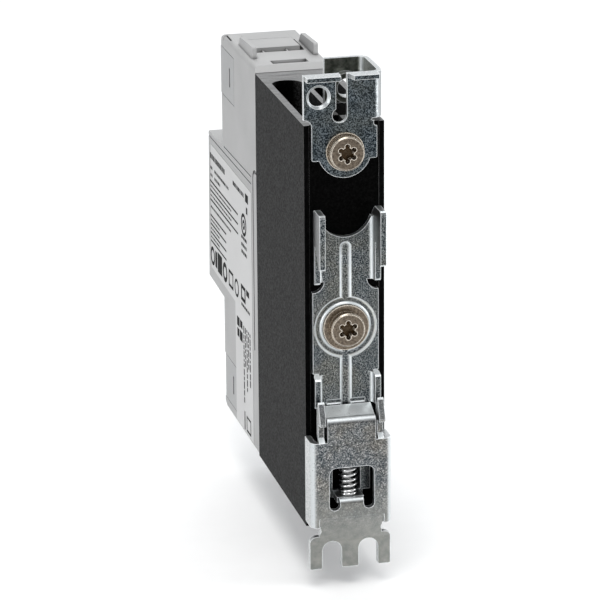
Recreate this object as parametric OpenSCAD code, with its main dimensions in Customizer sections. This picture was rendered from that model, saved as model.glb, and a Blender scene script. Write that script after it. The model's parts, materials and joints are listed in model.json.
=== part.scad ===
// Slim solid state relay on its own heat sink, with a spring clip for a 35 mm rail.
// +Z is up along the sink, +Y points to the rail and -Y to the terminals, X is the width.
// The origin is on the plane where the rail's back lands, half way between the rail's edges.

/* [Heat sink] */
// Width of the heat sink and of the housing
sink_w = 17.5; // [17:0.5:20]
// Height of the heat sink
sink_h = 90; // [88:1:100]
// Depth from the mounting back to the face that carries the power module
sink_d = 45.5; // [40:0.5:60]
// Thickness of the two side walls
sink_wall = 1.55; // [1.2:0.05:2]
// Thickness of the wall that the brackets are screwed to
sink_back_t = 6.5; // [5.5:0.5:9]
// Thickness of the middle fin
fin_t = 1.15; // [0.8:0.05:1.6]

/* [Rail clip] */
// Height of the mounting rail
rail_h = 35; // [35]
// How far the rail's back stands off the heat sink
rest_h = 2.9; // [2.5:0.1:3.5]
// Sheet thickness of the clip bracket and of the slider
clip_t = 1.25; // [1:0.05:1.3]
// Width over the hook plates
clip_w = 14.5; // [14:0.1:15]
// Sheet thickness of the earth bracket
earth_t = 1; // [0.8:0.1:1.2]
// Overall width of the release slider
slider_w = 18; // [17.6:0.1:18.4]
// Outer diameter of the slider's spring
spring_od = 4.2; // [3.8:0.1:4.2]
// Wire diameter of the slider's spring
spring_wire = 0.6; // [0.5:0.05:0.7]

/* [Housing] */
// Depth from the heat sink's back to the terminal fronts
terminal_d = 80.4; // [78:0.1:84]
// Depth from the heat sink's back to the middle block's front, at its foot
front_d = 97.2; // [94:0.1:100]
// Height of the housing's roof over the heat sink's foot
roof_h = 91.3; // [91:0.1:93]
// Wall thickness of the housing
wall = 1.5; // [1.2:0.1:2]

/* [Hidden] */

$fn = 48;
eps = 0.01;

// Heights of the rail's edges over the heat sink's foot; the origin is half way between them
rail_top_h = 63.3;
origin_h = rail_top_h - rail_h / 2;

// Y of a plane d deep from the heat sink's back, and Z of a height h over the sink's foot
function deep(d) = -rest_h - d;
function high(h) = h - origin_h;
// A profile given as [depth, height] pairs, turned into the row's Y and Z
function side_points(list) = [for (p = list) [deep(p[0]), high(p[1])]];

half_w = sink_w / 2;
recess_d = 0.4;
duct_end = sink_d - 7.3;
recess_half = half_w - 1.15;
screw_low_h = 45.1;
screw_top_h = 84.05;
m4_r = 2;
m5_core_r = 2.1;
washer_t = 0.5;
head_r = 3.75;
head_rim = 0.25;
drive_r = 1.6;
lobe_r = 0.55;
earth_top_h = 100.9;
earth_hole_h = 96.1;
earth_hole_x = half_w - 3.15;
collar_h = 94.6;
collar_x = -3.5;
clip_face = recess_d - clip_t;
earth_face = recess_d - earth_t;
clip_half = clip_w / 2;
strip_half = 5.3;
slot_half = 3.1;
relief_r = 2.4;
bend_in = 1.2;
bead_depth = 0.6;
ring_r = 6.05;
scoop_r = 5.8;
scoop_h = 71.05;

// Slider planes, as depths: its outer face is in front of the rail's hooks' middle
slider_face = -5.95;
slider_in = slider_face + clip_t;
slider_half = slider_w / 2;
flange_gap = 0.3;
slider_bend = 1.8;
lip_bend = 1.5;
lip_rise = 1.5;
lip_rear = -1.15;
lip_half = 5.35;
window_half = 5;
tongue_half = 2.6;
tongue_h = 6.45;
ear_d = -4.85;
shelf_h = 6.45;
flange_h = 26.2;
spring_d = -2.55;
spring_foot_h = shelf_h + clip_t;
spring_top_h = flange_h - clip_t;
lip_start_h = flange_h - lip_bend;
tail_h = 26.25;
tail_half = 2.2;
tail_root_d = -2.2;
tail_plate_d = [0.75, 1.95];

// Housing landmarks: depths and heights
step_low_h = 27.6;
step_top_h = 63.9;
front_lean = 1.5;
line_low_h = 76.85;
line_high_h = 87.95;
load_low_h = 2.65;
load_high_h = 13.35;
insert_back_d = 67.5;
line_front_d = terminal_d + 0.5;
load_front_d = terminal_d - 0.3;
seam = 0.12;
hatch_d = 60.5;
hatch_half = 5.2;
marker_h = [40.5, 50.5];
light_h = 34;
line_screw_h = 83.2;
load_screw_h = 7.4;

// Power terminals, as local heights over the screw's axis: the conductor lies on the bar
bar_top = -15.7;
bar_t = 0.8;
plate_low = -9.8;
entry_half = 4.2;
cage_half = 5.1;
cage_t = 0.8;
cage_top = 2.9;
wedge_slope = 0.75;
wedge_d = [62, 66.5];
plate_d = [62.2, 70];
plate_t = 1;
face_gap = 0.05;

// Control terminals
control_h = 57.2;
control_x = 3.9;
control_r = 1.5;
contact_d = [87.6, 88.4];
board_x = [5.2, 6.4];
board_h = [30.2, 49];

// Depth of the leaning front at a height
function front_at(h) = front_d - front_lean * (h - step_low_h) / (step_top_h - step_low_h);

marker_half = 5.5;
marker_seat_d = front_at(44) - 0.6;

// ---------- extrusion helpers ----------
module along_x(x0, x1) {
    translate([x0, 0, 0]) rotate([90, 0, 90]) linear_extrude(x1 - x0) children();
}

// Children are drawn in X and Z, between two depths
module between(d0, d1) {
    translate([0, deep(d0), 0]) rotate([90, 0, 0]) linear_extrude(d1 - d0) children();
}

module upright(h0, h1) {
    translate([0, 0, high(h0)]) linear_extrude(h1 - h0) children();
}

// Box given by X and depth ranges and a range of Z
module slab(x, d, z) {
    translate([x[0], deep(d[1]), z[0]]) cube([x[1] - x[0], d[1] - d[0], z[1] - z[0]]);
}

// Box given by X, depth and height ranges
module block(x, d, h) {
    slab(x, d, [high(h[0]), high(h[1])]);
}

module rod(r, d0, d1, h, x = 0) {
    translate([x, deep(d0), high(h)]) rotate([90, 0, 0]) cylinder(r = r, h = d1 - d0);
}

// Flat shapes in X and height
module pane(x0, x1, h0, h1, r = 0) {
    if (r == 0) translate([x0, high(h0)]) square([x1 - x0, h1 - h0]);
    else {
        translate([x0 + r, high(h0)]) square([x1 - x0 - 2 * r, h1 - h0]);
        translate([x0, high(h0) + r]) square([x1 - x0, h1 - h0 - 2 * r]);
        for (x = [x0 + r, x1 - r], z = [high(h0) + r, high(h1) - r]) translate([x, z]) circle(r);
    }
}

module disc(r, h, x = 0) {
    translate([x, high(h)]) circle(r);
}

module both_sides() {
    children();
    mirror([1, 0, 0]) children();
}

// Plan view of a bent sheet channel: its web is at y = 0 and its flanges reach y = len
module channel_plan(half, len, t, bend) {
    difference() {
        channel_outline(half, len, bend);
        translate([0, t]) channel_outline(half - t, len, bend - t + 0.05);
    }
}

module channel_outline(half, len, bend) {
    translate([-half, bend]) square([2 * half, len - bend]);
    translate([-half + bend, 0]) square([2 * half - 2 * bend, len]);
    for (s = [-1, 1]) translate([s * (half - bend), bend]) circle(bend);
}

// ---------- heat sink ----------
// One duct, with an arched end over the power module
module duct_plan() {
    arch_r = 3.5;
    outer = half_w - sink_wall;
    inner = fin_t / 2;
    intersection() {
        translate([inner, deep(duct_end)]) square([outer - inner, duct_end - sink_back_t]);
        union() {
            translate([(outer + inner) / 2, deep(duct_end - arch_r)]) circle(arch_r, $fn = 96);
            translate([inner, deep(duct_end - arch_r)]) square([outer - inner, duct_end - arch_r]);
        }
    }
}

module sink_plan() {
    difference() {
        translate([-half_w, deep(sink_d)]) square([sink_w, sink_d]);
        translate([-recess_half, deep(recess_d)]) square([2 * recess_half, 1]);
        both_sides() duct_plan();
    }
}

module heat_sink() {
    color("dimgray") difference() {
        upright(0, sink_h) sink_plan();
        for (h = [screw_low_h, screw_top_h]) rod(m4_r + 0.05, -1, sink_back_t - 0.6, h);
        // Room for the slider's tail, and for a lug's tongue behind the earth bracket's slot
        block([-4.6, 4.6], [0, 2.8], [16.5, 31]);
        block([-0.6, 2.7], [0, sink_back_t + 0.5], [88.3, sink_h + 1]);
    }
}

// ---------- fixed sheet metal ----------
// Side view of the clip bracket's hooks: a rest edge, a tapered notch and a finger
module hook_profile() {
    rest = -rest_h;
    polygon(side_points([
        [recess_d, 55.6], [rest + 0.4, 55.6], [rest, 56.0], [rest, 64.0], [rest - 0.35, 64.3],
        [rest - 0.65, 63.95], [-6.3, 60.45], [-6.55, 60.1], [-7.3, 60.1], [-7.5, 60.4],
        [-7.5, 71.5], [-7.3, 71.95], [-6.8, 72.15], [-2.6, 72.15], [-1.7, 71.6], [recess_d, 69.6]]));
}

module rest_tab_profile() {
    polygon(side_points([
        [recess_d, 27.8], [-rest_h + 0.3, 27.8], [-rest_h, 28.1], [-rest_h, 34.0],
        [-rest_h + 0.35, 34.3], [clip_face, 35.0], [recess_d, 35.0]]));
}

// The strip below the web is cut open for the spring and for the slider's staked tail
module clip_outline() {
    difference() {
        union() {
            pane(-clip_half, clip_half, 27.8, 69.6);
            pane(-strip_half, strip_half, spring_foot_h + 0.05, 28.2);
        }
        disc(scoop_r, scoop_h);
        for (s = [-1, 1]) intersection() {
            disc(relief_r, 55.6, s * 7.15);
            pane(-clip_half - 1, clip_half + 1, 50, 55.6);
        }
        disc(m4_r + 0.25, screw_low_h);
        pane(-slot_half, slot_half, spring_foot_h - 0.1, 27.2, 0.6);
    }
}

// Pressed bead: a round-bottomed groove up the middle that opens into a ring about the screw
// and ends in a shallow crease over the slot
module bead() {
    rib_r = 1.62;
    tube_r = 0.85;
    foot_r = 0.6;
    foot_depth = 0.3;
    rib_end_h = 63;
    face_y = deep(clip_face);
    translate([-4.2, face_y + foot_r - foot_depth, high(28.4)]) rotate([0, 90, 0])
        cylinder(r = foot_r, h = 8.4);
    translate([0, face_y + rib_r - bead_depth, high(27)]) cylinder(r = rib_r, h = 13);
    translate([0, face_y + rib_r - bead_depth, high(screw_low_h + ring_r)])
        cylinder(r = rib_r, h = rib_end_h - screw_low_h - ring_r);
    translate([0, face_y + rib_r - bead_depth, high(rib_end_h)]) sphere(rib_r);
    translate([0, face_y + tube_r - bead_depth, high(screw_low_h)]) rotate([90, 0, 0])
        rotate_extrude() translate([ring_r, 0]) circle(tube_r);
}

// Bends between the web and a side plate: a round outer corner and a filled inner one
module bend_outer(h0, h1) {
    r = bend_in + clip_t;
    upright(h0, h1) difference() {
        translate([clip_half - r, deep(recess_d) - 1]) square([r + 1, r + 1]);
        translate([clip_half - r, deep(recess_d) + r]) circle(r);
    }
}

module bend_inner(h0, h1) {
    corner = clip_half - clip_t;
    upright(h0, h1) difference() {
        translate([corner - bend_in, deep(clip_face) - eps]) square([bend_in + eps, bend_in]);
        translate([corner - bend_in, deep(clip_face) + bend_in]) circle(bend_in);
    }
}

module clip_bracket() {
    color("silver") difference() {
        union() {
            between(clip_face, recess_d) clip_outline();
            both_sides() {
                along_x(clip_half - clip_t, clip_half) {
                    hook_profile();
                    rest_tab_profile();
                }
                difference() {
                    bend_inner(55.6, 69.6);
                    rod(scoop_r, -6, 2, scoop_h);
                }
                bend_inner(27.8, 34.6);
            }
            // Shelf that carries the spring, with a peg inside the coil
            block([-2.95, 2.95], [-4.4, recess_d], [shelf_h, spring_foot_h]);
            block([-3.6, 3.6], [clip_face, recess_d], [shelf_h, spring_foot_h + 0.3]);
            translate([0, deep(spring_d), high(spring_foot_h) - eps]) cylinder(r = 1.1, h = 1.2);
        }
        bead();
        both_sides() {
            bend_outer(55.6, 73);
            bend_outer(27, 35.0);
        }
    }
}

module earth_back_outline() {
    shoulder_r = 1.65;
    shoulder_h = 91.3;
    difference() {
        union() {
            pane(-7.05, 7.17, 82.2, 91.5, 0.4);
            pane(-7.05, 7.17, 86, 91.5);
            disc(5.8, screw_top_h);
            pane(-half_w, half_w + 0.15, shoulder_h, earth_top_h);
            // Fillet under the wide part
            difference() {
                pane(7, 7.17 + shoulder_r, shoulder_h - shoulder_r, shoulder_h + 0.2);
                disc(shoulder_r, shoulder_h - shoulder_r, 7.17 + shoulder_r);
            }
        }
        disc(m4_r + 0.25, screw_top_h);
        disc(m5_core_r, earth_hole_h, earth_hole_x);
        pane(-0.58, 1.85, 91.95, earth_top_h + 1);
        disc(1.62, 91.95, 1.04);
        disc(0.75, 89.9, -7.05);
    }
}

// Plan of the earth bracket's wrap: back plate, side flange and front plate
module earth_plan() {
    bend = 2.6;
    side_x = -half_w + 0.2;
    translate([side_x + bend, deep(recess_d)]) square([half_w * 2 - bend - 0.05, earth_t]);
    translate([side_x, deep(14 - bend)]) square([earth_t, 14 - bend - earth_face - bend]);
    translate([side_x + bend, deep(14)]) square([9.6 - bend, earth_t]);
    translate([side_x + bend, deep(earth_face + bend)]) bend_arc(bend, 90);
    translate([side_x + bend, deep(14 - bend)]) bend_arc(bend, 180);
}

// Quarter of a bent sheet, seen along the bend
module bend_arc(r, angle) {
    intersection() {
        difference() {
            circle(r);
            circle(r - earth_t);
        }
        rotate(angle) square(r + 1);
    }
}

module earth_bracket() {
    wrap_edge = 2.8 - half_w;
    color("silver") difference() {
        union() {
            between(earth_face, recess_d) difference() {
                earth_back_outline();
                pane(-half_w - 1, wrap_edge, 90.4, 102);
            }
            difference() {
                upright(90.9, earth_top_h) earth_plan();
                translate([0, deep(-5), 0]) rotate([90, 0, 0]) linear_extrude(10)
                    pane(wrap_edge, half_w + 1, 90, 102);
            }
            rod(3.3, 11.2, 13 + eps, collar_h, collar_x);
            // Tabs folded back over the top edge
            translate([0, 0, high(earth_top_h - earth_t)]) linear_extrude(earth_t) {
                polygon([[half_w, deep(recess_d)], [half_w - 0.1, deep(-2.9)],
                         [1.3, deep(-2.9)], [1.0, deep(recess_d)]]);
                polygon([[-0.7, deep(recess_d)], [-1.6, deep(-2.9)],
                         [-7.0, deep(-2.9)], [-7.3, deep(recess_d)]]);
            }
        }
        rod(m5_core_r, 10, 16, collar_h, collar_x);
        translate([earth_hole_x, deep(earth_face) - 0.4, high(earth_hole_h)]) rotate([-90, 0, 0])
            cylinder(r1 = m5_core_r, r2 = m5_core_r + 0.5, h = 0.4 + eps);
    }
}

module bracket_washer(h, face, r) {
    between(face - washer_t, face) difference() {
        disc(r, h);
        disc(m4_r + 0.2, h);
    }
}

module bracket_washers() {
    color("silver") {
        bracket_washer(screw_low_h, clip_face, 5);
        bracket_washer(screw_top_h, earth_face, 4.15);
    }
}

// Pan-head screw with a chamfered rim and a six-lobed drive
module bracket_screw(h, face) {
    head = face - washer_t;
    front = head - 2;
    drive_end = head - 0.4;
    difference() {
        union() {
            rod(head_r, front + head_rim, head, h);
            translate([0, deep(front + head_rim) - eps, high(h)]) rotate([-90, 0, 0])
                cylinder(r1 = head_r, r2 = head_r - head_rim, h = head_rim + eps);
            rod(m4_r, head - eps, 5.6, h);
        }
        for (a = [0 : 60 : 300])
            rod(lobe_r, front - 1, drive_end, h + drive_r * cos(a), drive_r * sin(a));
        rod(1.4, front - 1, drive_end, h);
    }
}

module bracket_screws() {
    color("tan") {
        bracket_screw(screw_low_h, clip_face);
        bracket_screw(screw_top_h, earth_face);
    }
}

// ---------- release slider ----------
module slider_front_outline() {
    relief = (window_half - tongue_half) / 2;
    difference() {
        union() {
            pane(-slider_half, slider_half, 1.5, 20.9);
            pane(-lip_half, lip_half, 20, 27);
            // Neck and three-pronged fork
            pane(-6.95, 6.95, -2.6, 1.6);
            pane(-slider_half, slider_half, -6, -1.0, 1.5);
            pane(-slider_half, slider_half, -6, -3.5);
            for (x = [-7.6, 0, 7.6]) pane(x - 1.4, x + 1.4, -8.7, -4, 0.35);
            pane(-1.9, 1.9, -8.7, -4, 0.4);
        }
        // Notches between the prongs take a screwdriver's blade
        for (s = [-1, 1]) {
            pane(s * 4.05 - 2.15, s * 4.05 + 2.15, -10, -4.6);
            disc(2.15, -4.6, s * 4.05);
            disc(1.25, 0.35, s * 7.95);
        }
        // Window over the spring, with relief slots beside the curled tongue
        pane(-window_half, window_half, tongue_h, 15, 1.6);
        pane(-window_half, window_half, tongue_h, 9);
        for (s = [-1, 1]) translate([s * (tongue_half + relief), 0]) {
            pane(-relief, relief, 5.25 + relief, 9);
            disc(relief, 5.25 + relief);
        }
    }
}

// Side view of the slider's sheet: upright face, joggle inwards above the fork
module slider_profile() {
    fork = -4.1;
    polygon(side_points([
        [slider_face, lip_start_h], [slider_face, 3.6], [fork - 0.1, -2.2], [fork, -2.8],
        [fork, -9], [fork + clip_t, -9], [fork + clip_t, -2.6], [slider_in, 3.7],
        [slider_in, lip_start_h]]));
}

// Lip that is folded back over the clip bracket's slot
module slider_lip() {
    start_d = slider_face + lip_bend;
    intersection() {
        translate(side_points([[start_d, lip_start_h]])[0]) circle(lip_bend, $fn = 96);
        polygon(side_points([[slider_face - 1, lip_start_h - 1], [slider_in, lip_start_h - 1],
                             [slider_in, flange_h - clip_t], [start_d, flange_h - clip_t],
                             [start_d, flange_h + 1], [slider_face - 1, flange_h + 1]]));
    }
    polygon(side_points([[start_d, flange_h - clip_t], [start_d, flange_h],
                         [lip_rear, flange_h + lip_rise], [lip_rear, flange_h + lip_rise - clip_t]]));
}

// Ear that grips the rail's lower edge: set back below its nose, and round on top
module ear_profile() {
    polygon(side_points([
        [slider_face, 19.5], [slider_face, 20.9], [ear_d, 21.9], [ear_d, 24.9], [-6.8, 25.0],
        [-6.9, 25.5], [-5.3, 29.6], [-4.98, 29.95], [-4.7, 29.8], [-3.75, 28.0], [-3.6, 26.0],
        [-3.6, 22.5], [slider_in, 20.5], [slider_in, 19.5]]));
}

// Half of the side flanges: the part of the channel beyond the bends
module flange_zone() {
    block([slider_half - slider_bend, slider_half + 1], [-8, 2], [0, 22]);
}

module release_slider() {
    color("gainsboro") {
        intersection() {
            upright(1.5, 20.9) translate([0, deep(slider_face)]) mirror([0, 1])
                channel_plan(slider_half, -flange_gap - slider_face, clip_t, slider_bend);
            both_sides() flange_zone();
        }
        difference() {
            intersection() {
                along_x(-slider_half, slider_half) slider_profile();
                between(-8, 2) slider_front_outline();
            }
            both_sides() difference() {
                flange_zone();
                block([-slider_half - 1, slider_half + 1], [-8, 2], [-1, 1.5]);
            }
        }
        // Tongue in front of the bracket's shelf, curled inwards at its top
        intersection() {
            along_x(-tongue_half, tongue_half) translate(side_points([[slider_in, tongue_h]])[0])
                circle(clip_t);
            block([-tongue_half, tongue_half], [slider_face, slider_in],
                  [tongue_h - eps, tongue_h + clip_t]);
        }
        along_x(-lip_half, lip_half) slider_lip();
        both_sides() along_x(clip_half - clip_t - 0.1, clip_half - 0.05) ear_profile();
        // Pressed seat for the spring, and a staked tail behind the bracket's slot
        translate([0, deep(spring_d), high(spring_top_h)])
            cylinder(r = spring_od / 2, h = 1);
        translate([0, deep(spring_d), high(spring_top_h) - 1]) cylinder(r = 1.1, h = 1.8);
        block([-tail_half, tail_half], [tail_root_d, tail_plate_d[1] - eps],
              [tail_h - 0.55, tail_h + 0.55]);
        block([-4, 4], tail_plate_d, [tail_h - 1, tail_h + 1]);
    }
}

// Wire of the coil as a swept tube: rings of points along a helix, closed turns at both ends
spring_turns = 15;
ring_steps = 14;
wire_sides = 6;
spring_rings = spring_turns * ring_steps;

function spring_rise(i) =
    let (low = spring_foot_h + spring_wire / 2, top = spring_top_h - spring_wire / 2,
         active = max(0, min(1, (i / ring_steps - 1) / (spring_turns - 2))))
    low + (top - low - 2 * spring_wire) * active
        + spring_wire * (min(1, i / ring_steps) + max(0, i / ring_steps - spring_turns + 1));

function spring_point(i, k) =
    let (turn = 360 * i / ring_steps, around = 360 * k / wire_sides,
         r = (spring_od - spring_wire) / 2 + spring_wire / 2 * cos(around))
    [r * cos(turn), r * sin(turn), high(spring_rise(i)) + spring_wire / 2 * sin(around)];

module slider_spring() {
    points = [for (i = [0 : spring_rings], k = [0 : wire_sides - 1]) spring_point(i, k)];
    last = spring_rings * wire_sides;
    side_faces = [for (i = [0 : spring_rings - 1], k = [0 : wire_sides - 1])
        let (a = i * wire_sides, b = a + wire_sides, next = (k + 1) % wire_sides)
        [a + k, b + k, b + next, a + next]];
    end_faces = [[for (k = [0 : wire_sides - 1]) k],
                 [for (k = [wire_sides - 1 : -1 : 0]) last + k]];
    color("silver") translate([0, deep(spring_d), 0])
        polyhedron(points, concat(side_faces, end_faces), convexity = 10);
}

// ---------- housing ----------
function housing_points(inset) = [
    [sink_d, 0.6 + inset], [terminal_d - 1.4, 0.6 + inset],
    [terminal_d + 0.4 - inset, 1.4 + inset], [terminal_d + 0.4 - inset, step_low_h - 0.6 + inset],
    [front_d - inset, step_low_h + inset], [front_at(step_top_h) - inset, step_top_h - 0.6 - inset],
    [front_at(step_top_h) - 0.7 - inset, step_top_h - inset], [terminal_d - inset, step_top_h - inset],
    [terminal_d - inset, roof_h - 2.2 - inset], [79.9 - inset, roof_h - 1.1 - inset],
    [78.7 - inset, roof_h - 0.35 - inset], [76.1 - inset / 2, roof_h - inset],
    [47.2, roof_h - inset], [sink_d, min(sink_h + 0.1, roof_h - inset)]];

// Round along both upper side edges of the roof
module roof_rounding() {
    r = 1.35;
    both_sides() translate([half_w - r, 0, high(roof_h) - r]) rotate([90, 0, 0])
        linear_extrude(300, center = true) difference() {
            square(r + 1);
            circle(r);
        }
}

// Both power terminals are drawn once, round their screw's axis, with the roof side up
module line_side() {
    translate([0, 0, high(line_screw_h)]) children();
}

module load_side() {
    translate([0, 0, high(load_screw_h)]) mirror([0, 0, 1]) children();
}

module conductor_entry() {
    slab([-entry_half, entry_half], [66, terminal_d + 2], [bar_top, plate_low]);
}

module entry_sleeve() {
    slab([-entry_half - 1, entry_half + 1], [75, terminal_d - 0.5], [bar_top - 1, plate_low + 1]);
}

module insert_pocket(d1, h0, h1) {
    block([-half_w - 1, half_w + 1], [insert_back_d - seam, d1], [h0 - seam, h1 + seam]);
}

module roof_fins() {
    fin_x = half_w - 1.7;
    for (s = [-1, 1]) along_x(s * fin_x - 0.5, s * fin_x + 0.5)
        polygon(side_points([[53.3, roof_h - 0.5], [67.5, roof_h - 0.5], [67.5, roof_h],
                             [65.6, roof_h + 2.1], [53.6, roof_h + 2.7], [53.3, roof_h + 2.4]]));
}

// Raised hatch between the roof fins
module roof_hatch() {
    along_x(-hatch_half, hatch_half) polygon(side_points([
        [hatch_d, roof_h - 1], [75.2, roof_h - 1], [75.2, roof_h], [67.5, roof_h + 0.45],
        [hatch_d, roof_h + 0.6]]));
}

// Slot behind the hatch with two ribs across it, gaps at its sides, and a shallow wire seat
module roof_slots() {
    difference() {
        block([-hatch_half, hatch_half], [58.6, hatch_d], [roof_h - 1.2, roof_h + 3]);
        for (x = [-1.85, 3.6]) block([x - 0.15, x + 0.15], [58, 62], [roof_h - 2, roof_h + 0.3]);
    }
    both_sides() block([hatch_half - 0.1, hatch_half + 0.6], [58.6, 68.8],
                       [roof_h - 1.2, roof_h + 3]);
    block([-hatch_half, hatch_half], [69.7, 69.85], [roof_h - 0.1, roof_h + 1]);
    block([-4.1, 4.1], [47.9, 50.8], [roof_h - 1, roof_h + 3]);
    // Seam across the front corner and along the roof's edge
    along_x(half_w - 1.4, half_w + 1) polygon(side_points([
        [77.9, roof_h - 1.6], [78.1, roof_h - 1.6], [76.9, roof_h + 1], [76.5, roof_h + 1]]));
    block([half_w - 0.75, half_w - 0.45], [72, 76.8], [roof_h - 0.8, roof_h + 1]);
}

// The upper groove ends at the step's corner, and the lower one runs out at the front
function groove_front_d(h) = h > step_top_h ? 78.9 : 98;

module strip_outline(d1, h1, r) {
    polygon(side_points([[sink_d - 1, 24.2], [d1, 24.2], [d1, h1 - r], [sink_d - 1, h1 - r]]));
    polygon(side_points([[sink_d - 1, 24.2], [d1 - r, 24.2], [d1 - r, h1], [sink_d - 1, h1]]));
    translate(side_points([[d1 - r, h1 - r]])[0]) circle(r);
}

module side_marks() {
    // Strip along the joint with the sink, outlined by a groove
    along_x(half_w - 0.35, half_w + 1) difference() {
        strip_outline(49.3, 67.3, 2.4);
        strip_outline(48.6, 66.6, 1.7);
    }
    // Latch windows
    block([half_w - 0.8, half_w + 1], [59.3, 60.3], [1.3, 5.7]);
    // Grooves over the label
    for (h = [62.4, 64.1]) along_x(half_w - 0.13, half_w + 1) polygon(side_points([
        [50.6, h + 0.6], [50.6, h + 0.9], [groove_front_d(h), h + 0.3], [groove_front_d(h), h]]));
}

module housing() {
    color("lightgray") difference() {
        union() {
            difference() {
                along_x(-half_w, half_w) polygon(side_points(housing_points(0)));
                along_x(-half_w + wall, half_w - wall) polygon(side_points(housing_points(wall)));
                roof_rounding();
                insert_pocket(line_front_d + 1, line_low_h, line_high_h);
                insert_pocket(load_front_d + 1, load_low_h, load_high_h);
            }
            roof_fins();
            roof_hatch();
            line_side() entry_sleeve();
            load_side() entry_sleeve();
            // Rails that hold the control board's edges
            for (h = [board_h[0] - 1.1, board_h[1] + 0.1])
                block([board_x[0] - 0.8, half_w - wall + eps], [54, 86], [h, h + 1]);
        }
        line_side() conductor_entry();
        load_side() conductor_entry();
        both_sides() side_marks();
        roof_slots();
        // Control wire entries and screw holes
        for (s = [-1, 1]) {
            block([s * control_x - 1.8, s * control_x + 1.8], [84.2, 87.5],
                  [step_top_h - wall - 1, step_top_h + 2]);
            rod(2.3, 92, 100, control_h, s * control_x);
        }
        // Seats for the marker and the light pipe
        block([-marker_half - 0.1, marker_half + 0.1], [marker_seat_d, 100],
              [marker_h[0] - 0.1, marker_h[1] + 0.1]);
        rod(1.6, 92, 100, light_h);
    }
}

// Cover over a terminal: a screwdriver hole in front, open behind and towards the conductor
module terminal_insert(d1, h0, h1) {
    difference() {
        block([-half_w, half_w], [insert_back_d, d1], [h0, h1]);
        block([-half_w + 1.2, half_w - 1.2], [insert_back_d - 1, d1 - 1.6], [h0 + 1, h1 - 1]);
        for (s = [-1, 1]) block([s * half_w - 0.7, s * half_w + 0.7], [71.4, 72.3],
                                [(h0 + h1) / 2 - 2.25, (h0 + h1) / 2 + 2.25]);
    }
}

module insert_cuts() {
    translate([0, deep(60), 0]) rotate([90, 0, 0]) cylinder(r = 3.3, h = 30);
    slab([-cage_half - 0.3, cage_half + 0.3], [60, 75.2], [plate_low - 1, 0]);
}

module line_insert() {
    color("silver") difference() {
        terminal_insert(line_front_d, line_low_h, line_high_h);
        line_side() insert_cuts();
    }
}

module load_insert() {
    color("silver") difference() {
        terminal_insert(load_front_d, load_low_h, load_high_h);
        load_side() insert_cuts();
    }
}

module side_label() {
    label_t = 0.08;
    color("whitesmoke") translate([half_w, 0, 0]) rotate([90, 0, 90])
        linear_extrude(label_t) difference() {
            polygon(side_points([[50.8, 0.9], [68.5, 0.9], [68.5, 29.8], [94.2, 30.4],
                                 [93.2, 61.0], [50.8, 61.0]]));
            polygon(side_points([[59.2, 1.2], [60.4, 1.2], [60.4, 5.8], [59.2, 5.8]]));
        }
}

module front_marker() {
    color("white") along_x(-marker_half, marker_half) polygon(side_points([
        [marker_seat_d, marker_h[0]], [front_at(marker_h[0]) + 0.1, marker_h[0]],
        [front_at(marker_h[1]) + 0.1, marker_h[1]], [marker_seat_d, marker_h[1]]]));
}

module light_pipe() {
    color("honeydew") {
        rod(1.5, 90.5, front_at(light_h) + 0.25, light_h);
        rod(2.2, 89.9, 90.5 + eps, light_h);
    }
}

module status_led() {
    color("yellow") {
        block([-1.6, 1.6], [87.6, 88.4], [light_h - 1.3, light_h + 1.3]);
        rod(1.2, 88.4 - eps, 89.6, light_h);
        for (h = [light_h - 0.8, light_h + 0.4])
            block([1.6 - eps, board_x[0]], [87.8, 88.2], [h, h + 0.4]);
    }
}

// ---------- power path ----------
module ceramic_substrate() {
    color("white") block([-6.8, 6.8], [sink_d, sink_d + 0.9], [26, 68]);
}

module thyristor_chips() {
    color("darkslategray") for (h = [[35, 43], [51, 59]])
        block([-4, 4], [sink_d + 0.9, sink_d + 1.4], h);
}

// Copper strip: its foot is on the substrate and its bar runs under the conductor
module busbar(foot_end) {
    half = 3.4;
    foot_d = sink_d + 0.9;
    slab([-half, half], [foot_d, 73.4], [bar_top - bar_t, bar_top]);
    slab([-half, half], [foot_d, foot_d + bar_t], [foot_end, bar_top]);
}

module line_busbar() {
    color("peru") line_side() busbar(bar_top - 7.5);
}

module load_busbar() {
    color("peru") load_side() busbar(bar_top - 8.5);
}

// Steel cage round the terminal: it takes the wedge's and the bar's push, and the screw's pull
module terminal_frame() {
    low = bar_top - bar_t - cage_t;
    difference() {
        slab([-cage_half, cage_half], [61, 73.4], [low, cage_top + cage_t]);
        slab([cage_t - cage_half, cage_half - cage_t], [60, 75], [low + cage_t, cage_top]);
    }
    difference() {
        slab([cage_t / 2 - cage_half, cage_half - cage_t / 2], [73.4 - eps, 74.4],
             [-3.2, cage_top + cage_t]);
        translate([0, deep(60), 0]) rotate([90, 0, 0]) cylinder(r = 2.3, h = 20);
    }
}

module line_frame() {
    color("darkgray") line_side() terminal_frame();
}

module load_frame() {
    color("darkgray") load_side() terminal_frame();
}

// Clamping screw along Y with a cross recess
module clamp_screw(r_head, r_shaft, head_d, tip_d) {
    difference() {
        union() {
            translate([0, deep(head_d[0]), 0]) rotate([90, 0, 0])
                cylinder(r = r_head, h = head_d[1] - head_d[0]);
            translate([0, deep(tip_d), 0]) rotate([90, 0, 0])
                cylinder(r = r_shaft, h = head_d[0] - tip_d + eps);
        }
        for (size = [[r_head * 0.65, 0.4], [0.4, r_head * 0.65]])
            slab([-size[0], size[0]], [head_d[1] - 1, head_d[1] + 1], [-size[1], size[1]]);
    }
}

module line_screw() {
    color("silver") line_side() clamp_screw(2.9, 2, [74.5, 76.8], 61.4);
}

module load_screw() {
    color("silver") load_side() clamp_screw(2.9, 2, [74.5, 76.8], 61.4);
}

// Local height of the wedge's slanted face at a depth
function wedge_at(d) = plate_low + plate_t + wedge_slope * (d - plate_d[0]);

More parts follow.
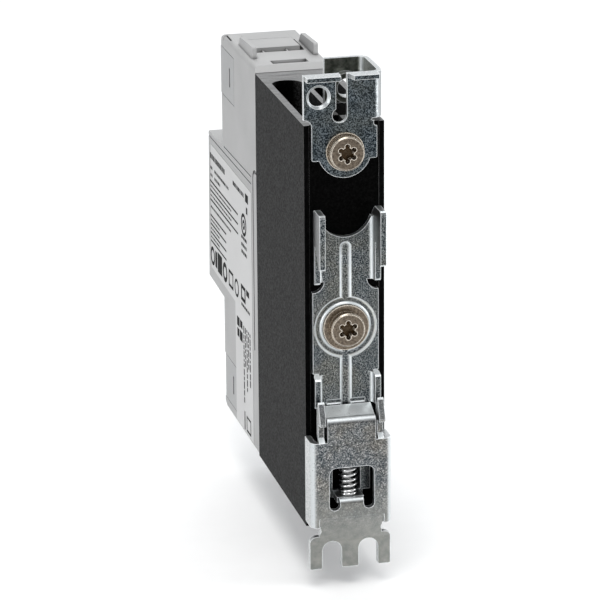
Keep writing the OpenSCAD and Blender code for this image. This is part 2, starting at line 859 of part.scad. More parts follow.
// Nut that runs along the screw and drives the plate with its slanted underside
module terminal_wedge() {
    difference() {
        along_x(-3.6, 3.6) polygon([
            [deep(wedge_d[0]), wedge_at(wedge_d[0]) + face_gap], [deep(wedge_d[0]), cage_top - 0.1],
            [deep(wedge_d[1]), cage_top - 0.1], [deep(wedge_d[1]), wedge_at(wedge_d[1]) + face_gap]]);
        translate([0, deep(60), 0]) rotate([90, 0, 0]) cylinder(r = 2.05, h = 20);
    }
}

module line_wedge() {
    color("goldenrod") line_side() terminal_wedge();
}

module load_wedge() {
    color("goldenrod") load_side() terminal_wedge();
}

// Pressure plate: level underneath, slanted on top
module terminal_plate() {
    along_x(-3.8, 3.8) polygon([
        [deep(plate_d[0]), plate_low], [deep(plate_d[0]), wedge_at(plate_d[0])],
        [deep(plate_d[1]), wedge_at(plate_d[1])], [deep(plate_d[1]), plate_low]]);
}

module line_plate() {
    color("silver") line_side() terminal_plate();
}

module load_plate() {
    color("silver") load_side() terminal_plate();
}

// ---------- control side ----------
module control_block() {
    color("dimgray") difference() {
        block([wall - half_w, half_w - wall], [82, 93.9], [52, 61.9]);
        for (s = [-1, 1]) {
            block([s * control_x - 2.9, s * control_x + 2.9], [83, 93.1], [54.2, 62]);
            block([s * control_x - 1.6, s * control_x + 1.6], [87.5, 88.5], [51, 55]);
            rod(1.8, 90, 95, control_h, s * control_x);
        }
    }
}

// Contact bars through the cages, each with a tail to the control board
module control_contacts() {
    color("gold") {
        block([control_x - 1.5, control_x + 1.5], contact_d, [board_h[1] + 0.4, 60.5]);
        block([board_x[0] - 0.8, board_x[0]], contact_d, [board_h[1] - 0.6, board_h[1] + 0.5]);
        block([-control_x - 1.5, -control_x + 1.5], contact_d, [board_h[1] - 2, 60.5]);
        block([-control_x - 1.5, board_x[0]], contact_d, [board_h[1] - 2, board_h[1] - 1.1]);
    }
}

// A control pole's screw and its rising cage, round the screw's axis
module at_pole(side) {
    translate([side * control_x, 0, high(control_h)]) children();
}

module control_screw_a1() {
    color("silver") at_pole(1) clamp_screw(2.1, control_r, [94, 95.6], 88.5);
}

module control_screw_a2() {
    color("silver") at_pole(-1) clamp_screw(2.1, control_r, [94, 95.6], 88.5);
}

// Threaded in its front wall; its back wall pulls the conductor against the contact bar
module control_cage() {
    difference() {
        slab([-2.5, 2.5], [83.4, 90.4], [-2.4, 2.4]);
        slab([-1.8, 1.8], [84.5, 88.9], [-3, 3]);
        translate([0, deep(86), 0]) rotate([90, 0, 0]) cylinder(r = control_r + 0.05, h = 6);
    }
}

module control_cage_a1() {
    color("goldenrod") at_pole(1) control_cage();
}

module control_cage_a2() {
    color("goldenrod") at_pole(-1) control_cage();
}

// Box that stands on the control board
module on_board(tall, d, h) {
    block([board_x[0] - tall, board_x[0]], d, h);
}

module control_board() {
    color("darkgreen") block(board_x, [52, 92], board_h);
}

module optocoupler() {
    color("black") on_board(3, [64.5, 72], [38.5, 45]);
}

module driver_chips() {
    color("black") for (d = [78, 83.5]) on_board(1.6, [d, d + 4], [36, 41]);
}

module varistor() {
    tall = 3.4;
    color("royalblue") translate([board_x[0] - tall, deep(59), high(39)]) rotate([0, 90, 0])
        cylinder(r = 4.2, h = tall);
}

module snubber_capacitor() {
    color("firebrick") on_board(5, [64.5, 76.5], [30.6, 37.2]);
}

module snubber_resistor() {
    r = 1.5;
    color("burlywood") rod(r, 56.5, 63.5, 46.2, board_x[0] - r);
}

module gate_pins() {
    color("gold") for (h = [45.5, 47, 48.3]) on_board(1.1, [sink_d + 0.9, 56], [h - 0.3, h + 0.3]);
}

heat_sink();
earth_bracket();
clip_bracket();
bracket_washers();
bracket_screws();
release_slider();
slider_spring();
housing();
line_insert();
load_insert();
side_label();
front_marker();
light_pipe();
status_led();
ceramic_substrate();
thyristor_chips();
line_busbar();
load_busbar();
line_frame();
load_frame();
line_screw();
load_screw();
line_wedge();
load_wedge();
line_plate();
load_plate();
control_block();
control_contacts();
control_screw_a1();
control_screw_a2();
control_cage_a1();
control_cage_a2();
control_board();
optocoupler();
driver_chips();
varistor();
snubber_capacitor();
snubber_resistor();
gate_pins();
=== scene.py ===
"""Looks of the rail-mounted solid state relay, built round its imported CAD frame."""
import json
import math
import random

import bpy
from mathutils import Matrix, Vector


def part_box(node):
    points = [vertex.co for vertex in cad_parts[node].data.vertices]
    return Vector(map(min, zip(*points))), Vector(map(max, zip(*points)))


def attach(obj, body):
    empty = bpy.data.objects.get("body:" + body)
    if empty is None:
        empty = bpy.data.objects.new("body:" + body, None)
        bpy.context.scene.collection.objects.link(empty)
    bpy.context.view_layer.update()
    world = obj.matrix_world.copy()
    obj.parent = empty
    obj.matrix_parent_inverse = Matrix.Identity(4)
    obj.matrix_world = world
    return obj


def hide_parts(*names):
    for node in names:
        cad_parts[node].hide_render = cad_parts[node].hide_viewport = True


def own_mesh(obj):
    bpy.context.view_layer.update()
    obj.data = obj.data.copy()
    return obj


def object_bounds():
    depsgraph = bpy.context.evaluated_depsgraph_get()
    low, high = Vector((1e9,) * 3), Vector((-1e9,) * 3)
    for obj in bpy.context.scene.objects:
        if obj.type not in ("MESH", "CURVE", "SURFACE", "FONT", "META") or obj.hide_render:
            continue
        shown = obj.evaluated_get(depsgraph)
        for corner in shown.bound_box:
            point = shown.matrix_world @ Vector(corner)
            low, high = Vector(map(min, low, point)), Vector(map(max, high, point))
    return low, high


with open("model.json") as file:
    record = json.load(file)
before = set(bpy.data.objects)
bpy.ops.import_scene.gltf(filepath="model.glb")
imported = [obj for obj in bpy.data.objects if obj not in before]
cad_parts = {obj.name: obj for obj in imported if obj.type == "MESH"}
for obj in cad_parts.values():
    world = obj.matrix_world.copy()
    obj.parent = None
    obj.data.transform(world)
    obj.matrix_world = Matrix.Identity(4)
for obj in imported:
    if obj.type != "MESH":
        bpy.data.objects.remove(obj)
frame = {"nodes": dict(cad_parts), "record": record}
cad_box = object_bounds()

MM = 0.001
NODES = frame["nodes"]
RELAY = "relay"
# The print's places are depths behind the rail side of the heat sink and heights over its foot,
# in millimetres; these two shift them to the frame's origin
SINK_DEPTH = 2.9
FOOT_HEIGHT = 45.8
# Half the width of the housing, which carries the label
FLANK_X = 8.75
SLIDER_TRAVEL = 4 * MM


# ---------------------------------------------------------------- material nodes
class Graph:
    """A small helper for building one node material."""

    def __init__(self, name, **sockets):
        self.material = bpy.data.materials.new(name)
        self.material.use_nodes = True
        self.tree = self.material.node_tree
        self.shader = self.tree.nodes["Principled BSDF"]
        for socket, value in sockets.items():
            self.set(socket, value)
        self.object_co = self.add("ShaderNodeTexCoord").outputs["Object"]

    def set(self, socket, value):
        """Sets one of the shader's own sockets; colours may be given as three numbers."""
        target = self.shader.inputs[socket.replace("_", " ")]
        if isinstance(value, (tuple, list)) and len(value) == 3:
            value = (*value, 1)
        target.default_value = value

    def add(self, kind, **properties):
        """A new node of a kind, with its properties set."""
        node = self.tree.nodes.new(kind)
        for key, value in properties.items():
            setattr(node, key, value)
        return node

    def link(self, output, target):
        """Joins an output to a socket, and gives the output back."""
        self.tree.links.new(output, target)
        return output

    def scaled(self, stretch):
        """Object coordinates multiplied per axis."""
        mapping = self.add("ShaderNodeMapping")
        mapping.inputs["Scale"].default_value = stretch
        self.link(self.object_co, mapping.inputs["Vector"])
        return mapping.outputs["Vector"]

    def noise(self, size, detail=4, roughness=0.55, stretch=(1, 1, 1), seed=0.0):
        """Noise whose blobs are about size metres across."""
        node = self.add("ShaderNodeTexNoise", noise_dimensions="4D")
        node.inputs["Scale"].default_value = 1 / size
        node.inputs["Detail"].default_value = detail
        node.inputs["Roughness"].default_value = roughness
        node.inputs["W"].default_value = seed
        self.link(self.scaled(stretch), node.inputs["Vector"])
        return node.outputs["Fac"]

    def ramp(self, value, stops):
        """Maps a value to colours; stops are (position, colour) pairs."""
        node = self.add("ShaderNodeValToRGB")
        elements = node.color_ramp.elements
        while len(elements) < len(stops):
            elements.new(0.5)
        for element, (position, colour) in zip(elements, stops):
            element.position = position
            element.color = (*colour, 1) if len(colour) == 3 else colour
        self.link(value, node.inputs["Fac"])
        return node.outputs["Color"]

    def band(self, value, low, high, out_low, out_high):
        """Maps low..high to out_low..out_high, held at both ends."""
        node = self.add("ShaderNodeMapRange")
        for key, number in zip(("From Min", "From Max", "To Min", "To Max"),
                               (low, high, out_low, out_high)):
            node.inputs[key].default_value = number
        self.link(value, node.inputs["Value"])
        return node.outputs["Result"]

    def math(self, operation, a, b=0.0):
        """One step of arithmetic on two values, each a number or an output."""
        node = self.add("ShaderNodeMath", operation=operation)
        for socket, value in zip(node.inputs, (a, b)):
            if isinstance(value, (int, float)):
                socket.default_value = value
            else:
                self.link(value, socket)
        return node.outputs["Value"]

    def mix(self, factor, a, b, blend="MIX"):
        """Colour a where the factor is nought and b where it is one."""
        node = self.add("ShaderNodeMix", data_type="RGBA", blend_type=blend)
        factor_in, a_in, b_in = node.inputs[0], node.inputs[6], node.inputs[7]
        for socket, value in ((factor_in, factor), (a_in, a), (b_in, b)):
            if isinstance(value, bpy.types.NodeSocket):
                self.link(value, socket)
            elif isinstance(value, (int, float)):
                socket.default_value = value
            else:
                socket.default_value = (*value, 1)
        return node.outputs[2]

    def normal_axis(self, axis):
        """How far the surface faces along an axis, from 0 to 1 either way."""
        normal = self.add("ShaderNodeTexCoord").outputs["Normal"]
        split = self.add("ShaderNodeSeparateXYZ")
        self.link(normal, split.inputs["Vector"])
        return self.math("ABSOLUTE", split.outputs[axis])

    def edges(self, radius, low=0.01, high=0.12):
        """One along the edges of a piece, where its faces turn, and nought on flat faces."""
        rounded = self.add("ShaderNodeBevel", samples=6)
        rounded.inputs["Radius"].default_value = radius
        normal = self.add("ShaderNodeNewGeometry").outputs["True Normal"]
        facing = self.add("ShaderNodeVectorMath", operation="DOT_PRODUCT")
        self.link(rounded.outputs["Normal"], facing.inputs[0])
        self.link(normal, facing.inputs[1])
        turned = self.math("SUBTRACT", 1.0, facing.outputs["Value"])
        return self.band(turned, low, high, 0.0, 1.0)

    def crevice(self, distance, low, high, own_piece_only=True):
        """Nought deep in hollows and corners, one in the open.

        own_piece_only leaves out the hollows that a piece makes with its neighbours.
        """
        node = self.add("ShaderNodeAmbientOcclusion", samples=8, only_local=own_piece_only)
        node.inputs["Distance"].default_value = distance
        return self.band(node.outputs["AO"], low, high, 0.0, 1.0)

    def axis_band(self, axis, low, high):
        """Nought up to low along an axis and one from high on, both in metres."""
        split = self.add("ShaderNodeSeparateXYZ")
        self.link(self.object_co, split.inputs["Vector"])
        return self.band(split.outputs[axis], low, high, 0.0, 1.0)

    def metal(self, value):
        self.link(value, self.shader.inputs["Metallic"])

    def colour(self, value):
        self.link(value, self.shader.inputs["Base Color"])

    def rough(self, value):
        self.link(value, self.shader.inputs["Roughness"])

    def bump(self, height, distance, strength=1.0):
        """Adds a bump over whatever bump is there already."""
        node = self.add("ShaderNodeBump")
        node.inputs["Distance"].default_value = distance
        node.inputs["Strength"].default_value = strength
        self.link(height, node.inputs["Height"])
        normal = self.shader.inputs["Normal"]
        if normal.is_linked:
            self.link(normal.links[0].from_socket, node.inputs["Normal"])
        self.link(node.outputs["Normal"], normal)


def grey(value, tint=(1, 1, 1)):
    """A colour of one brightness, tinted."""
    return tuple(value * t for t in tint)


def anodised_material():
    """Black extrusion: fine grain and die lines along Z, with bright sawn ends.

    Faces that look up or down between the two ends stay black. Faces along X carry painted light,
    much lighter than the painted shade on the back, and the edges are lighter.
    """
    top_end, foot_end = (0.0435, 0.0438), (-0.0456, -0.0453)
    g = Graph("black_anodised", Metallic=0.0, IOR=1.08)
    grain = g.noise(0.00045, detail=2, roughness=0.7)
    lines = g.noise(0.0004, detail=3, stretch=(1, 1, 0.02))
    # Painted light and shade: flank is a lit copy of the grain for faces along X, back a shaded
    # copy for the other faces
    flank = g.ramp(grain, [(0.38, grey(0.002)), (0.62, grey(0.051))])
    back = g.ramp(grain, [(0.4, grey(0.0)), (0.7, grey(0.0035))])
    skin = g.mix(g.band(g.normal_axis("X"), 0.5, 0.9, 0.0, 1.0), back, flank)
    saw = g.noise(0.0003, detail=4, stretch=(0.06, 1, 1), seed=2.0)
    cut = g.ramp(saw, [(0.3, grey(0.1)), (0.5, grey(0.17)), (0.7, grey(0.26))])
    upper = g.axis_band("Z", *top_end)
    lower = g.math("SUBTRACT", 1.0, g.axis_band("Z", *foot_end))
    end = g.math("MULTIPLY", g.band(g.normal_axis("Z"), 0.7, 0.8, 0.0, 1.0),
                 g.math("ADD", upper, lower))
    # Lighter along the edges
    edge_lightened = g.mix(g.edges(0.0001, 0.05, 0.2), skin, grey(0.12))
    g.colour(g.mix(end, edge_lightened, cut))
    g.rough(g.math("ADD", g.band(grain, 0.3, 0.7, 0.45, 0.65), g.math("MULTIPLY", end, -0.1)))
    g.metal(g.math("MULTIPLY", end, 0.7))
    g.bump(grain, 0.00003, 0.5)
    g.bump(lines, 0.00002, 0.4)
    return g.material


def zinc_material(name, level, contrast=1.0, tint=(1, 1, 1), flank=0.55, groove=0.8,
                  smooth_foot=False, lift_front=False, seed=0.0):
    """Zinc-plated sheet: dark and finely speckled on its broad faces, with painted highlights where
    it turns and along its edges, and painted shade in its hollows.

    level is the broad faces' brightness, flank that of the painted highlight on faces along X and
    groove that of the painted highlight on the sloped sides of pressed beads. smooth_foot leaves
    the lower end plain, and lift_front paints a highlight on the faces nearest the terminals.
    """
    g = Graph(name)
    speckle = g.noise(0.00026, detail=2, roughness=0.6, seed=seed)
    clouds = g.noise(0.0016, detail=3, seed=seed + 1)
    drift = g.noise(0.006, detail=2, seed=seed + 2)
    reach = 0.12 / contrast
    dark, bright = 0.5 - reach, 0.5 + reach
    cool = g.ramp(speckle, [(dark, grey(level * 0.12, (0.6, 1.0, 1.4))),
                            (0.5, grey(level * 0.9, (0.92, 1.0, 1.05))),
                            (bright, grey(level * 3.2))])
    warm = g.ramp(speckle, [(dark, grey(level * 0.3, (1.0, 1.0, 0.9))),
                            (0.5, grey(level * 1.05, (1.05, 1.0, 0.92))),
                            (bright, grey(level * 3.0, (1.03, 1.0, 0.93)))])
    tone = g.mix(g.band(drift, 0.42, 0.62, 0.0, 1.0), cool, warm)
    tone = g.mix(1.0, tone, tint, "MULTIPLY")
    bloom = g.band(clouds, 0.35, 0.65, 0.4, 0.0)
    face = g.mix(bloom, tone, grey(level * 0.4, (0.8, 1.0, 1.12)))
    if smooth_foot:
        plain = g.ramp(clouds, [(0.3, (0.2, 0.21, 0.2)), (0.7, (0.3, 0.3, 0.28))])
        face = g.mix(g.axis_band("Z", -0.046, -0.034), plain, face)
    # Painted highlight: faces nearest the terminals are made pale
    if lift_front:
        pale = g.ramp(clouds, [(0.35, (0.1, 0.11, 0.09)), (0.65, (0.34, 0.35, 0.3))])
        face = g.mix(g.axis_band("Y", -0.012, -0.01), pale, face)
    # Painted highlights: side is the bright colour of faces that turn away from Y, upright that of
    # faces along X, and grooved marks the sloped bead walls
    side = g.ramp(speckle, [(0.36, grey(0.42, (0.93, 1.0, 1.02))), (0.6, grey(0.68))])
    upright = g.ramp(speckle, [(0.36, grey(flank * 0.7, (0.93, 1.0, 1.02))),
                               (0.6, grey(flank * 1.2))])
    lean = g.math("SUBTRACT", 1.0, g.normal_axis("Y"))
    turned = g.band(lean, 0.03, 0.22, 0.0, 1.0)
    grooved = g.math("MULTIPLY", turned, g.band(lean, 0.55, 0.85, 1.0, 0.0))
    side = g.mix(grooved, g.mix(g.band(g.normal_axis("X"), 0.8, 1.0, 0.0, 1.0), side, upright),
                 grey(groove, (0.95, 1.0, 1.02)))
    # Painted highlight along every edge
    edge = g.edges(0.00022, 0.004, 0.06)
    open_to_light = g.crevice(0.002, 0.15, 0.75)
    whole = g.mix(edge, g.mix(turned, face, side), (0.86, 0.89, 0.9))
    # Painted shade: nearly black where hollows and corners close the piece in
    g.colour(g.mix(open_to_light, grey(0.01), whole))
    # Where highlights are painted the sheet is made less metallic, so the painted colour shows
    painted_highlight_share = g.math("MAXIMUM", g.math("MULTIPLY", edge, 0.75),
                   g.math("MULTIPLY", grooved, 0.6 * groove))
    g.metal(g.math("SUBTRACT", 1.0, painted_highlight_share))
    g.rough(g.band(speckle, 0.3, 0.7, 0.42, 0.26))
    g.bump(clouds, 0.00004, 0.5)
    g.bump(speckle, 0.000012, 0.5)
    return g.material


def plastic_material(name, value, tint=(1, 1, 1), rough=0.5, grain=0.00012, depth=0.000012,
                     spread=0.06, shaded=False, ior=1.5):
    """Moulded plastic with spark-eroded grain; a shaded one has painted shade in its slots, seams
    and corners, also where it meets other pieces.
    """
    g = Graph(name, IOR=ior)
    texture = g.noise(grain, detail=2, roughness=0.6)
    drift = g.noise(0.012, detail=2, seed=3.0)
    skin = g.ramp(drift, [(0.3, grey(value * (1 - spread), tint)),
                          (0.7, grey(value * (1 + spread), tint))])
    if shaded:
        # Painted shade in slots, seams and corners, and against neighbouring pieces
        open_to_light = g.crevice(0.0012, 0.4, 0.9, own_piece_only=False)
        skin = g.mix(open_to_light, grey(value * 0.22, tint), skin)
    g.colour(skin)
    g.rough(g.band(texture, 0.3, 0.7, rough - 0.06, rough + 0.06))
    g.bump(texture, depth, 0.6)
    return g.material


def metal_material(name, colour, rough=(0.18, 0.34), grain=0.0004, depth=0.000015, spread=0.14):
    """Plain metal with small patches of tone and roughness."""
    g = Graph(name, Metallic=1.0)
    spots = g.noise(grain, detail=3)
    patches = g.noise(0.0018, detail=3, seed=5.0)
    g.colour(g.ramp(patches, [(0.3, grey(1 - spread, colour)), (0.7, grey(1, colour))]))
    g.rough(g.band(spots, 0.3, 0.7, rough[0], rough[1]))
    g.bump(spots, depth, 0.5)
    return g.material


def nickel_material():
    """Warm nickel plating, dull on flat faces, with painted highlights on rims and sloped sides and
    painted shade deep in recesses.
    """
    g = Graph("nickel_plate")
    spots = g.noise(0.0004, detail=3)
    flat = g.ramp(spots, [(0.35, (0.08, 0.064, 0.05)), (0.65, (0.19, 0.155, 0.12))])
    # Painted highlight on sloped sides and rims
    lean = g.math("SUBTRACT", 1.0, g.normal_axis("Y"))
    sides = g.mix(g.band(lean, 0.1, 0.9, 0.0, 0.9), flat, (0.75, 0.66, 0.54))
    edge = g.edges(0.0003, 0.005, 0.07)
    whole = g.mix(edge, sides, (0.85, 0.78, 0.68))
    # Painted shade deep in recesses, kept off the open faces and sloped sides
    lit = g.math("MAXIMUM", g.crevice(0.003, 0.5, 0.85), g.band(lean, 0.3, 0.8, 0.0, 0.8))
    g.colour(g.mix(lit, (0.03, 0.018, 0.008), whole))
    g.metal(g.math("SUBTRACT", 1.0, g.math("MULTIPLY", edge, 0.8)))
    g.rough(g.band(spots, 0.3, 0.7, 0.32, 0.2))
    g.bump(spots, 0.00001, 0.5)
    return g.material


def clear_material(name, colour):
    """Clear plastic with a faint haze."""
    g = Graph(name, Transmission_Weight=0.85, IOR=1.49)
    haze = g.noise(0.0006, detail=2)
    g.colour(g.ramp(haze, [(0.3, colour), (0.7, grey(0.94, colour))]))
    g.rough(g.band(haze, 0.3, 0.7, 0.12, 0.22))
    return g.material


MATERIALS = {
    "sink_anodised": anodised_material(),
    "zinc_sheet": zinc_material("zinc_plate", 0.1, contrast=1.35, tint=(0.92, 0.97, 0.98),
                                flank=0.26),
    "slider_zinc": zinc_material("zinc_plate_slider", 0.15, contrast=0.7, groove=0.6,
                                 smooth_foot=True, seed=9.0),
    "screw_steel": nickel_material(),
    "spring_steel": metal_material("spring_wire", (0.7, 0.7, 0.7), rough=(0.12, 0.25)),
    "housing_grey": plastic_material("housing_plastic", 0.365, shaded=True),
    "insert_grey": plastic_material("insert_plastic", 0.35, (0.99, 1, 1.01), shaded=True),
    "label_film": plastic_material("label_film", 0.5, rough=0.4, depth=0.000004, spread=0.03),
    "marker_white": plastic_material("marker_plastic", 0.75),
    "light_pipe_clear": clear_material("clear_plastic", (0.85, 0.9, 0.82)),
    "led_yellow": plastic_material("led_resin", 0.7, (1.0, 0.8, 0.15), rough=0.25),
    "ceramic_white": plastic_material("ceramic", 0.8, rough=0.4),
    "chip_black": plastic_material("moulded_epoxy", 0.03, rough=0.55),
    "copper": metal_material("copper_strip", (0.8, 0.45, 0.28)),
    "frame_steel": metal_material("plated_steel", (0.6, 0.6, 0.6)),
    "terminal_steel": metal_material("terminal_zinc", (0.66, 0.67, 0.68)),
    "terminal_brass": metal_material("terminal_brass", (0.75, 0.6, 0.3)),
    "terminal_plastic": plastic_material("terminal_plastic", 0.05),
    "board_green": plastic_material("solder_mask", 0.12, (0.25, 1.0, 0.5), rough=0.3),
    "varistor_blue": plastic_material("varistor_epoxy", 0.3, (0.2, 0.5, 1.0), rough=0.25),
    "capacitor_red": plastic_material("capacitor_box", 0.4, (1.0, 0.25, 0.15), rough=0.3),
    "resistor_tan": plastic_material("resistor_lacquer", 0.6, (1.0, 0.8, 0.55), rough=0.25),
}

# The earth bracket's plating is darker and bluer than the clip bracket's; its faces nearest the
# terminals get a painted highlight
NODE_MATERIALS = {"earth_bracket": zinc_material("zinc_plate_dark", 0.066, contrast=1.5,
                                                 tint=(0.82, 0.96, 1.06), groove=0.42,
                                                 lift_front=True, seed=4.0)}

SLOT_OF = {part["node"]: part["material_slot"] for part in frame["record"]["subparts"]}

# Edge rounding of the CAD nodes, in metres, where it isn't the common value
COMMON_EDGE = 0.0001
EDGE = {"heat_sink": 0.00012, "earth_bracket": 0.00012, "clip_bracket": 0.00014,
        "release_slider": 0.00014, "bracket_screws": 0.00012, "housing": 0.0002,
        "line_insert": 0.0002, "load_insert": 0.0002, "side_label": 0.00002}


def finish_cad_nodes():
    """Gives each CAD node its material and small rounded edges."""
    for name, node in NODES.items():
        node.data.materials.clear()
        node.data.materials.append(NODE_MATERIALS.get(name, MATERIALS[SLOT_OF[name]]))
        bevel = node.modifiers.new("edges", "BEVEL")
        bevel.width = EDGE.get(name, COMMON_EDGE)
        bevel.segments = 2
        bevel.limit_method = "ANGLE"
        bevel.angle_limit = math.radians(40)
        bevel.harden_normals = True


finish_cad_nodes()


# ---------------------------------------------------------------- pieces
def make_piece(name, vertices, faces, material, smooth=False):
    """A mesh that rides on the relay's fixed body."""
    mesh = bpy.data.meshes.new(name)
    mesh.from_pydata(vertices, [], faces)
    mesh.update()
    mesh.polygons.foreach_set("use_smooth", [smooth] * len(mesh.polygons))
    mesh.materials.append(material)
    piece = bpy.data.objects.new(name, mesh)
    bpy.context.scene.collection.objects.link(piece)
    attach(piece, RELAY)
    return piece


def build_spring():
    """Round wire coil with closed ends; its foot stands on the bracket's shelf."""
    low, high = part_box("slider_spring")
    turns, steps, sides, wire = 15, 28, 12, 0.3 * MM
    centre_y = (low[1] + high[1]) / 2
    radius = (high[0] - low[0]) / 2 - wire
    foot, rise = low[2] + wire, high[2] - low[2] - 2 * wire
    total = turns * steps
    vertices, faces = [], []
    for i in range(total + 1):
        turn = i / steps
        active = min(1, max(0, (turn - 1) / (turns - 2)))
        closed = 2 * wire * (min(1, turn) + max(0, turn - turns + 1))
        z = foot + (rise - 4 * wire) * active + closed
        angle = 2 * math.pi * turn
        for k in range(sides):
            around = 2 * math.pi * k / sides
            reach = radius + wire * math.cos(around)
            vertices.append((reach * math.cos(angle), centre_y + reach * math.sin(angle),
                             z + wire * math.sin(around)))
    for i in range(total):
        for k in range(sides):
            a, b, after = i * sides, (i + 1) * sides, (k + 1) % sides
            faces.append((a + k, b + k, b + after, a + after))
    faces.append(tuple(range(sides)))
    faces.append(tuple(total * sides + k for k in reversed(range(sides))))
    spring = make_piece("spring_coil", vertices, faces,
                        MATERIALS["spring_steel"], smooth=True)
    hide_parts("slider_spring")
    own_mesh(spring)


class Print:
    """Plain shapes printed on the flank's label, as thin raised ink."""

    def __init__(self, level, thickness):
        self.vertices, self.faces = [], []
        self.inner = (FLANK_X + level) * MM
        self.outer = self.inner + thickness * MM

    def outline(self, points, holes=None):
        """A closed outline of (depth, height) points; with holes, a ring between two outlines."""
        loops = [points] + ([holes] if holes else [])
        rings = []
        for loop in loops:
            start = len(self.vertices)
            for x in (self.inner, self.outer):
                for depth, height in loop:
                    self.vertices.append((x, -(SINK_DEPTH + depth) * MM,
                                          (height - FOOT_HEIGHT) * MM))
            rings.append(start)
        count = len(points)
        for index, start in enumerate(rings):
            for k in range(count):
                after = (k + 1) % count
                wall = (start + k, start + after, start + count + after, start + count + k)
                self.faces.append(wall if index == 0 else wall[::-1])
        if holes:
            a, b = rings
            for k in range(count):
                after = (k + 1) % count
                self.faces.append((a + count + k, a + count + after,
                                   b + count + after, b + count + k))
                self.faces.append((b + k, b + after, a + after, a + k))
        else:
            start = rings[0]
            self.faces.append(tuple(start + count + k for k in range(count)))
            self.faces.append(tuple(start + k for k in reversed(range(count))))

    def bar(self, d0, d1, h0, h1):
        """A filled box; depths run from the front, where they are largest, to the back."""
        self.outline([(d0, h0), (d1, h0), (d1, h1), (d0, h1)])

    def open_box(self, d0, d1, h0, h1, line):
        """A box drawn as a line round its edge."""
        self.outline([(d0, h0), (d1, h0), (d1, h1), (d0, h1)],
                     [(d0 - line, h0 + line), (d1 + line, h0 + line),
                      (d1 + line, h1 - line), (d0 - line, h1 - line)])

    def ring(self, depth, height, radius, line, count=28):
        """A circle drawn as a line inside its edge."""
        def circle(r):
            return [(depth - r * math.cos(2 * math.pi * k / count),
                     height + r * math.sin(2 * math.pi * k / count)) for k in range(count)]
        self.outline(circle(radius), circle(radius - line))

    def dashes(self, rng, d0, d1, height, size):
        """A row of short dashes in place of writing."""
        depth = d0
        while depth > d1:
            length = min(rng.uniform(0.6, 1.5), depth - d1)
            if length > 0.15:
                self.bar(depth, depth - length, height - size / 2, height + size / 2)
            depth -= length + rng.uniform(0.25, 0.45)


def build_label_print():
    """Rules, dashes and plain shapes where a label usually has its table and marks."""
    rng = random.Random(5)
    label_ink = plastic_material("label_ink", 0.02, rough=0.7, ior=1.12, depth=0.000002,
                                 spread=0.1)
    label_thickness, ink_thickness = 0.08, 0.015
    ink = Print(label_thickness, ink_thickness)
    # Heading, two short rows, and a plain block at the far end of the heading
    ink.dashes(rng, 94.0, 78.2, 58.2, 1.3)
    ink.dashes(rng, 69.6, 58.2, 58.2, 1.0)
    ink.bar(56.8, 53.8, 57.3, 59.3)
    ink.bar(56.0, 54.6, 54.6, 56.2)
    for height, end in ((55.3, 74.0), (53.5, 83.4)):
        ink.dashes(rng, 93.8, 91.7, height, 0.7)
        ink.dashes(rng, 89.5, end, height, 0.7)
    # Two ruled tables
    for top, rows, end, pitch in ((51.9, 3, 64.6, 2.3), (43.4, 4, 77.5, 2.1)):
        for row in range(rows):
            height = top - row * pitch
            ink.bar(94.4, end, height - 0.22, height + 0.22)
            if row < rows - 1:
                ink.dashes(rng, 94.0, end + 7, height - pitch / 2, 0.45)
    ink.dashes(rng, 94.0, 72.3, 45.6, 0.55)
    # Plain shapes in a row
    ink.ring(92.6, 33.6, 2.3, 0.9)
    ink.bar(89.8, 87.8, 31.8, 35.8)
    ink.bar(87.2, 82.4, 31.4, 36.2)
    ink.ring(79.2, 33.6, 2.4, 1.1)
    ink.open_box(75.2, 70.4, 31.7, 35.8, 0.7)
    ink.ring(66.8, 33.6, 2.2, 0.7)
    ink.open_box(62.2, 57.6, 32.4, 36.2, 0.9)
    ink.bar(56.8, 53.8, 34.9, 36.3)
    ink.dashes(rng, 61.9, 53.4, 31.4, 0.7)
    # Round stamp of plain rings beside the tables
    ink.ring(58.6, 51.2, 2.7, 0.8)
    ink.ring(58.6, 51.2, 1.2, 0.7)
    for height in (47.9, 46.1, 44.4):
        ink.dashes(rng, 61.2, 55.6, height, 0.8)
    # Foot of the label: small blocks and upright rows
    for d0, d1, h0, h1 in ((66.8, 64.2, 24.8, 27.0), (63.6, 61.2, 25.2, 27.0),
                           (66.6, 64.6, 22.2, 24.2), (64.0, 61.2, 22.0, 24.4)):
        ink.bar(d0, d1, h0, h1)
    for depth, low in ((59.8, 9.0), (58.2, 18.0), (56.6, 12.0), (55.0, 17.5), (53.4, 13.5)):
        height = 26.6
        while height > low:
            length = rng.uniform(0.6, 1.8)
            ink.bar(depth + 0.4, depth - 0.4, height - length, height)
            height -= length + rng.uniform(0.25, 0.5)
    ink.open_box(57.8, 53.4, 1.6, 5.4, 0.5)
    make_piece("label_print", ink.vertices, ink.faces, label_ink)


build_spring()
build_label_print()


# ---------------------------------------------------------------- studio
def add_light(name, location, target, size, power, colour):
    """A soft rectangular light turned to a target."""
    data = bpy.data.lights.new(name, "AREA")
    data.shape = "RECTANGLE"
    data.size, data.size_y = size
    data.energy = power
    data.color = colour
    light = bpy.data.objects.new(name, data)
    bpy.context.scene.collection.objects.link(light)
    light.location = location
    towards = Vector(target) - Vector(location)
    light.rotation_euler = towards.to_track_quat("-Z", "Y").to_euler()
    return light


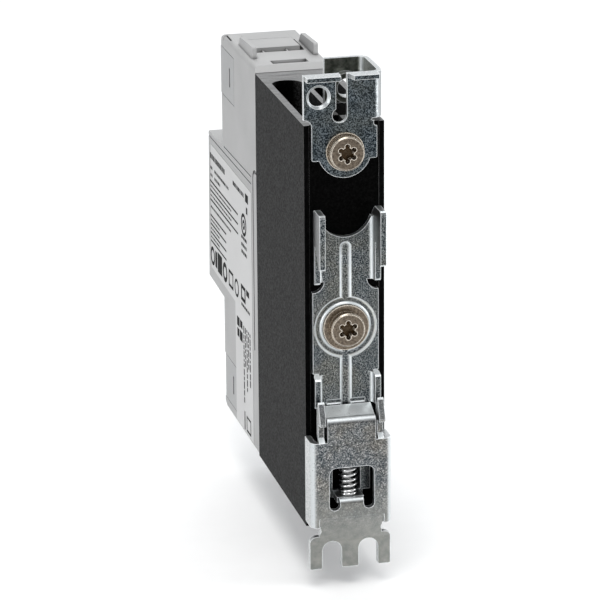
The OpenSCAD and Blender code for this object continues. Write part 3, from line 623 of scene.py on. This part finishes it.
def build_studio():
    """Pale floor, a grey surround that brightens upwards, and four soft lights."""
    # Far enough down for the slider to come out to its stop
    level = cad_box[0][2] - SLIDER_TRAVEL - 0.5 * MM
    floor = bpy.data.meshes.new("floor")
    reach = 6.0
    corners = [(-reach, -reach, level), (reach, -reach, level),
               (reach, reach, level), (-reach, reach, level)]
    floor.from_pydata(corners, [], [(0, 1, 2, 3)])
    floor_object = bpy.data.objects.new("floor", floor)
    bpy.context.scene.collection.objects.link(floor_object)
    floor.materials.append(plastic_material("floor_paint", 0.9, rough=0.9, spread=0.01))

    world = bpy.data.worlds.new("studio")
    world.use_nodes = True
    nodes, links = world.node_tree.nodes, world.node_tree.links
    direction = nodes.new("ShaderNodeTexCoord")
    split = nodes.new("ShaderNodeSeparateXYZ")
    ramp = nodes.new("ShaderNodeValToRGB")
    stops = ramp.color_ramp.elements
    stops[0].position, stops[0].color = 0.0, (0.6, 0.61, 0.62, 1)
    stops[1].position, stops[1].color = 0.9, (0.9, 0.91, 0.93, 1)
    links.new(direction.outputs["Generated"], split.inputs["Vector"])
    links.new(split.outputs["Z"], ramp.inputs["Fac"])
    links.new(ramp.outputs["Color"], nodes["Background"].inputs["Color"])
    nodes["Background"].inputs["Strength"].default_value = 0.7
    bpy.context.scene.world = world

    middle = (0, -0.04, 0)
    for name, place, size, power, colour in (
            ("top", (0.1, 0.25, 0.9), (0.5, 0.6), 5.0, (1.0, 0.99, 0.97)),
            ("back_top", (-0.1, -0.7, 0.7), (0.7, 0.5), 3.5, (0.97, 0.99, 1.0)),
            ("right_card", (-0.3, 0.12, 0.06), (0.06, 0.2), 0.5, (0.97, 0.99, 1.0)),
            ("left_card", (0.45, 0.3, 0.12), (0.06, 0.3), 0.7, (1.0, 1.0, 1.0))):
        light = add_light(name, place, middle, size, power, colour)
        light.visible_camera = False
    bpy.context.scene.view_settings.view_transform = "Standard"


def build_camera():
    """A long lens behind the relay, above it and a little towards its label side."""
    azimuth, elevation, roll = math.radians(13.466), math.radians(17.995), math.radians(-0.437)
    distance, focal_length = 0.8356, 222.05
    aim = Vector((-0.00073, -0.04689, -0.00877))
    back = Vector((math.cos(elevation) * math.sin(azimuth),
                   math.cos(elevation) * math.cos(azimuth), math.sin(elevation)))
    data = bpy.data.cameras.new("camera")
    data.lens = focal_length
    camera = bpy.data.objects.new("camera", data)
    bpy.context.scene.collection.objects.link(camera)
    camera.matrix_world = (Matrix.Translation(aim + back * distance)
                           @ back.to_track_quat("Z", "Y").to_matrix().to_4x4()
                           @ Matrix.Rotation(roll, 4, "Z"))
    bpy.context.scene.camera = camera


build_studio()
build_camera()
